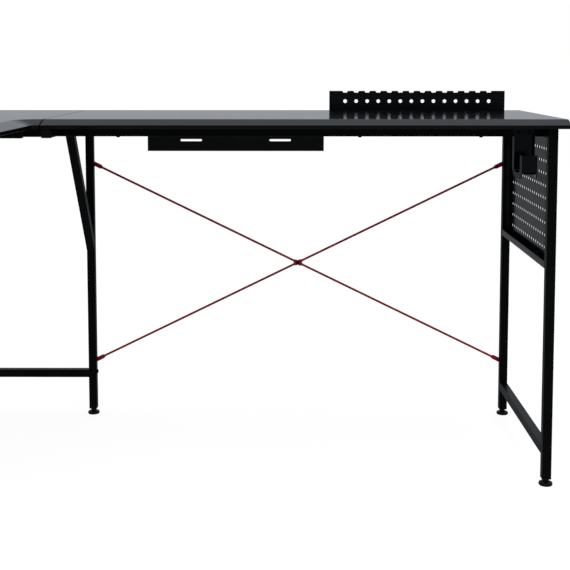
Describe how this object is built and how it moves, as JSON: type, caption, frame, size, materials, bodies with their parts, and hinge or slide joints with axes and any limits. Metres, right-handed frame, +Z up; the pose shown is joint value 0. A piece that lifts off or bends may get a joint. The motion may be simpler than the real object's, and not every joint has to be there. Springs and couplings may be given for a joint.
{
  "type": "corner desk",
  "caption": "L-shaped corner desk: sloped-edge boards on a square tube frame with crossed rods, a pegboard end panel, a cable tray, a headphone hook and a rack strip.",
  "frame": {"origin": "on the floor under the middle of the desk's bounding box", "axes": "+X along the right wing to its free end, +Y to the back edge of the right wing, +Z up"},
  "size_m": [1.571, 1.2074, 0.797],
  "materials": {
    "frame_tube": "satin black powder coat",
    "worktop": "black laminate on particle board",
    "accessory_sheet": "satin black powder coat on folded sheet",
    "red_rod": "dark red paint",
    "bolt": "black oxide",
    "black_plastic": "moulded black plastic"
  },
  "bodies": {
    "desk": {"leg_right_front": "frame_tube", "leg_right_rear": "frame_tube", "leg_right_mid": "frame_tube", "leg_corner": "frame_tube", "leg_left_mid": "frame_tube", "leg_left_outer": "frame_tube", "leg_left_inner": "frame_tube", "right_top_tube": "frame_tube", "right_end_stretcher": "frame_tube", "left_top_tube": "frame_tube", "left_end_stretcher": "frame_tube", "right_arm": "frame_tube", "left_arm": "frame_tube", "right_brace": "frame_tube", "left_brace": "frame_tube", "corner_link": "frame_tube", "right_front_rail": "frame_tube", "right_rear_rail": "frame_tube", "left_inner_rail": "frame_tube", "left_outer_rail": "frame_tube", "corner_rear_rail": "frame_tube", "corner_side_rail": "frame_tube", "corner_rear_stretcher": "frame_tube", "corner_side_stretcher": "frame_tube", "seam_tabs": "frame_tube", "right_board": "worktop", "corner_board": "worktop", "left_board": "worktop", "pegboard": "accessory_sheet", "headphone_hook": "accessory_sheet", "cable_tray": "accessory_sheet", "rack_strip": "accessory_sheet", "joining_plates": "accessory_sheet", "right_cross_rod_front": "red_rod", "right_cross_rod_rear": "red_rod", "left_cross_rod_front": "red_rod", "left_cross_rod_rear": "red_rod", "frame_bolts": "bolt", "rod_bolts": "bolt", "rod_inserts": "bolt", "pegboard_bolts": "bolt", "tube_inserts": "bolt", "leg_plugs": "black_plastic", "end_caps": "black_plastic"},
    "right_front_foot": {"foot_right_front": "black_plastic"},
    "right_rear_foot": {"foot_right_rear": "black_plastic"},
    "right_mid_foot": {"foot_right_mid": "black_plastic"},
    "corner_foot": {"foot_corner": "black_plastic"},
    "left_mid_foot": {"foot_left_mid": "black_plastic"},
    "left_outer_foot": {"foot_left_outer": "black_plastic"},
    "left_inner_foot": {"foot_left_inner": "black_plastic"}
  },
  "joints": [
    {"name": "right_front_foot_screw", "type": "slide", "parent": "desk", "child": "right_front_foot", "axis": [0, 0, 1], "range_m": [-0.012, 0]},
    {"name": "right_rear_foot_screw", "type": "slide", "parent": "desk", "child": "right_rear_foot", "axis": [0, 0, 1], "range_m": [-0.012, 0]},
    {"name": "right_mid_foot_screw", "type": "slide", "parent": "desk", "child": "right_mid_foot", "axis": [0, 0, 1], "range_m": [-0.012, 0]},
    {"name": "corner_foot_screw", "type": "slide", "parent": "desk", "child": "corner_foot", "axis": [0, 0, 1], "range_m": [-0.012, 0]},
    {"name": "left_mid_foot_screw", "type": "slide", "parent": "desk", "child": "left_mid_foot", "axis": [0, 0, 1], "range_m": [-0.012, 0]},
    {"name": "left_outer_foot_screw", "type": "slide", "parent": "desk", "child": "left_outer_foot", "axis": [0, 0, 1], "range_m": [-0.012, 0]},
    {"name": "left_inner_foot_screw", "type": "slide", "parent": "desk", "child": "left_inner_foot", "axis": [0, 0, 1], "range_m": [-0.012, 0]}
  ]
}
